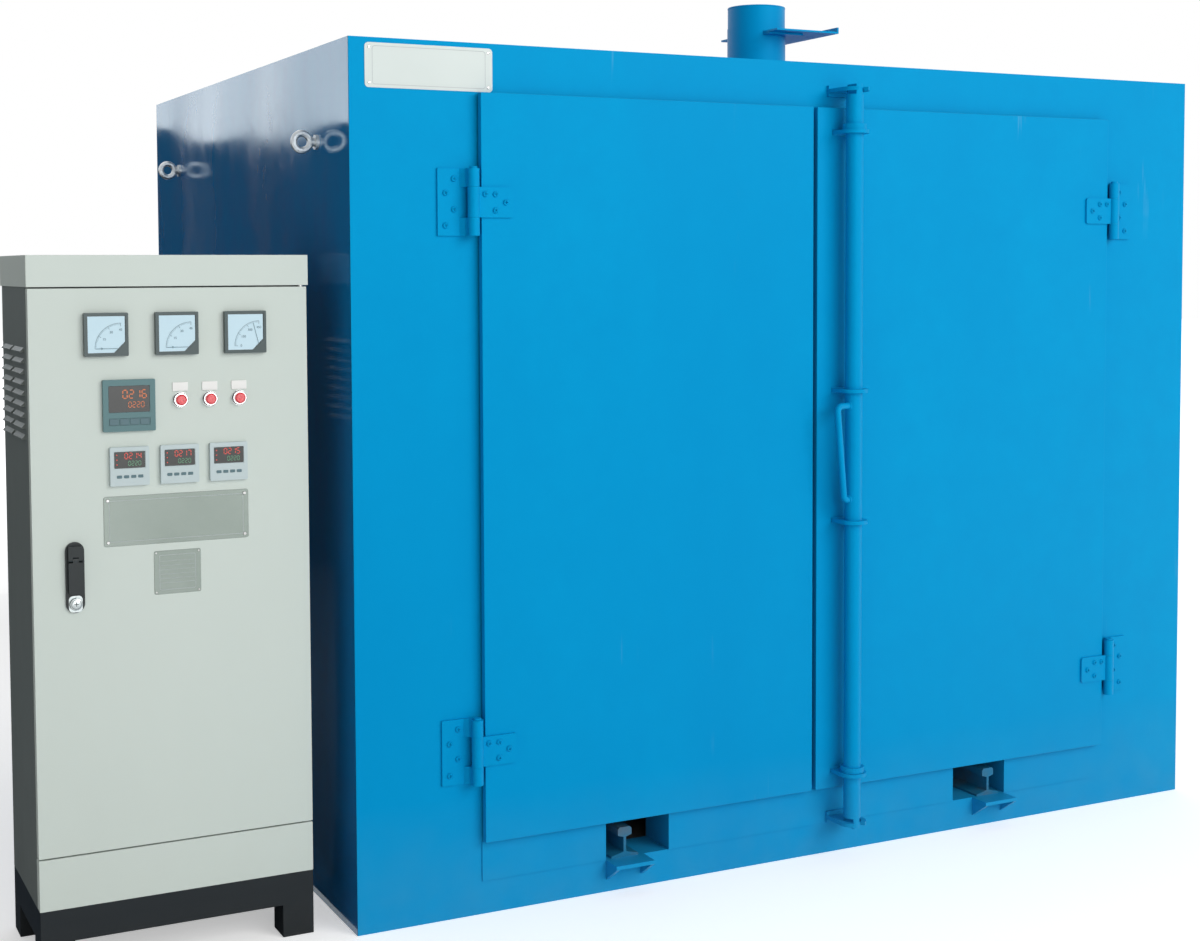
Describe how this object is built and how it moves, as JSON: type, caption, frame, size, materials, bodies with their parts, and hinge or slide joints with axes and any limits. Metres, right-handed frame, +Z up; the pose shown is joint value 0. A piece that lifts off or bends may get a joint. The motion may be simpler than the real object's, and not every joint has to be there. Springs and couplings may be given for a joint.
{
  "type": "industrial electric oven",
  "caption": "Walk-in style electric oven with two hinged doors, a turning locking bar, trolley rails, an exhaust damper and a free-standing control cabinet.",
  "frame": {"origin": "on the floor under the middle of the oven, at the bottom of its middle cross member", "axes": "+Z up, the doors face -Y, +X runs to the right as seen from the front"},
  "size_m": [2.7929, 2.0632, 1.9],
  "materials": {
    "blue_paint": "gloss paint",
    "blue_side_paint": "gloss paint",
    "liner_steel": "mill sheet",
    "steel": "turned",
    "rail_steel": "rolled",
    "heater_steel": "oxidised",
    "galvanised_steel": "galvanised",
    "grey_paint": "satin paint",
    "black_paint": "satin paint",
    "cabinet_paint": "fine texture paint",
    "mineral_wool": "loose wool",
    "seal_rubber": "matt",
    "plate_white": "printed white",
    "device_plastic": "matt",
    "bezel_black": "gloss",
    "bezel_grey": "matt",
    "bezel_white": "matt",
    "chrome": "plated",
    "lens_red": "clear moulded",
    "handle_black": "matt"
  },
  "bodies": {
    "casing": {"base_frame": "blue_side_paint", "front_frame": "blue_paint", "sill_plate": "blue_paint", "side_panel_left": "blue_side_paint", "side_panel_right": "blue_side_paint", "roof_panel": "blue_side_paint", "back_panel": "blue_side_paint", "wall_insulation": "mineral_wool", "chamber_liner": "liner_steel", "duct_walls": "liner_steel", "rear_baffle": "liner_steel", "fan_guard": "steel", "rails": "rail_steel", "rail_shelves": "blue_paint", "heater_banks": "heater_steel", "heater_racks": "liner_steel", "terminal_covers": "blue_side_paint", "motor_stand": "grey_paint", "fan_motor": "grey_paint", "exhaust_pipe": "galvanised_steel", "temperature_probe": "steel", "lifting_eyes": "galvanised_steel", "air_inlet": "galvanised_steel", "oven_nameplate": "plate_white", "lock_keepers": "blue_paint", "hinge_leaves": "blue_paint", "hinge_pins": "steel", "cabinet_stand": "black_paint", "cabinet_shell": "cabinet_paint", "cabinet_kick_panel": "cabinet_paint", "cabinet_cap": "cabinet_paint", "cabinet_pivots": "steel", "mounting_plate": "galvanised_steel", "main_breaker": "device_plastic", "control_gear": "device_plastic"},
    "door_left": {"door_left_pan": "blue_paint", "door_left_liner": "liner_steel", "door_left_insulation": "mineral_wool", "door_left_seal": "seal_rubber", "door_left_straps": "blue_paint"},
    "door_right": {"door_right_pan": "blue_paint", "door_right_liner": "liner_steel", "door_right_insulation": "mineral_wool", "door_right_seal": "seal_rubber", "door_right_straps": "blue_paint", "lock_guides": "blue_paint"},
    "lock_bar": {"lock_bar": "blue_paint"},
    "damper": {"damper_blade": "galvanised_steel"},
    "fan": {"impeller": "steel", "fan_shaft": "steel"},
    "cabinet_door": {"cabinet_door": "cabinet_paint", "cabinet_door_seal": "seal_rubber", "panel_meters": "bezel_black", "main_controller": "bezel_grey", "zone_controllers": "bezel_white", "pilot_lamps": "chrome", "lamp_lenses": "lens_red", "handle_escutcheon": "handle_black"},
    "latch": {"latch_spindle": "chrome"},
    "lever": {"latch_lever": "handle_black"}
  },
  "joints": [
    {"name": "door_left_hinge", "type": "hinge", "parent": "casing", "child": "door_left", "pos_m": [-0.824, -0.8248, 0.9], "axis": [0, 0, -1], "range_deg": [0, 100]},
    {"name": "door_right_hinge", "type": "hinge", "parent": "casing", "child": "door_right", "pos_m": [0.824, -0.8248, 0.9], "axis": [0, 0, 1], "range_deg": [0, 165]},
    {"name": "lock_bar_turn", "type": "hinge", "parent": "door_right", "child": "lock_bar", "pos_m": [0.053, -0.8623, 0.9], "axis": [0, 0, 1], "range_deg": [0, 90]},
    {"name": "damper_slide", "type": "slide", "parent": "casing", "child": "damper", "axis": [1, 0, 0], "range_m": [0, 0.08]},
    {"name": "fan_spin", "type": "hinge", "parent": "casing", "child": "fan", "pos_m": [0, 0.6, 0.9], "axis": [0, 1, 0], "continuous": true},
    {"name": "cabinet_door_hinge", "type": "hinge", "parent": "casing", "child": "cabinet_door", "pos_m": [-1.148, -0.728, 0.75], "axis": [0, 0, 1], "range_deg": [0, 100]},
    {"name": "latch_turn", "type": "hinge", "parent": "cabinet_door", "child": "latch", "pos_m": [-1.586, -0.745, 0.7875], "axis": [0, -1, 0], "range_deg": [0, 90]},
    {"name": "lever_flip", "type": "hinge", "parent": "latch", "child": "lever", "pos_m": [-1.586, -0.7488, 0.7755], "axis": [-1, 0, 0], "range_deg": [0, 35]}
  ]
}
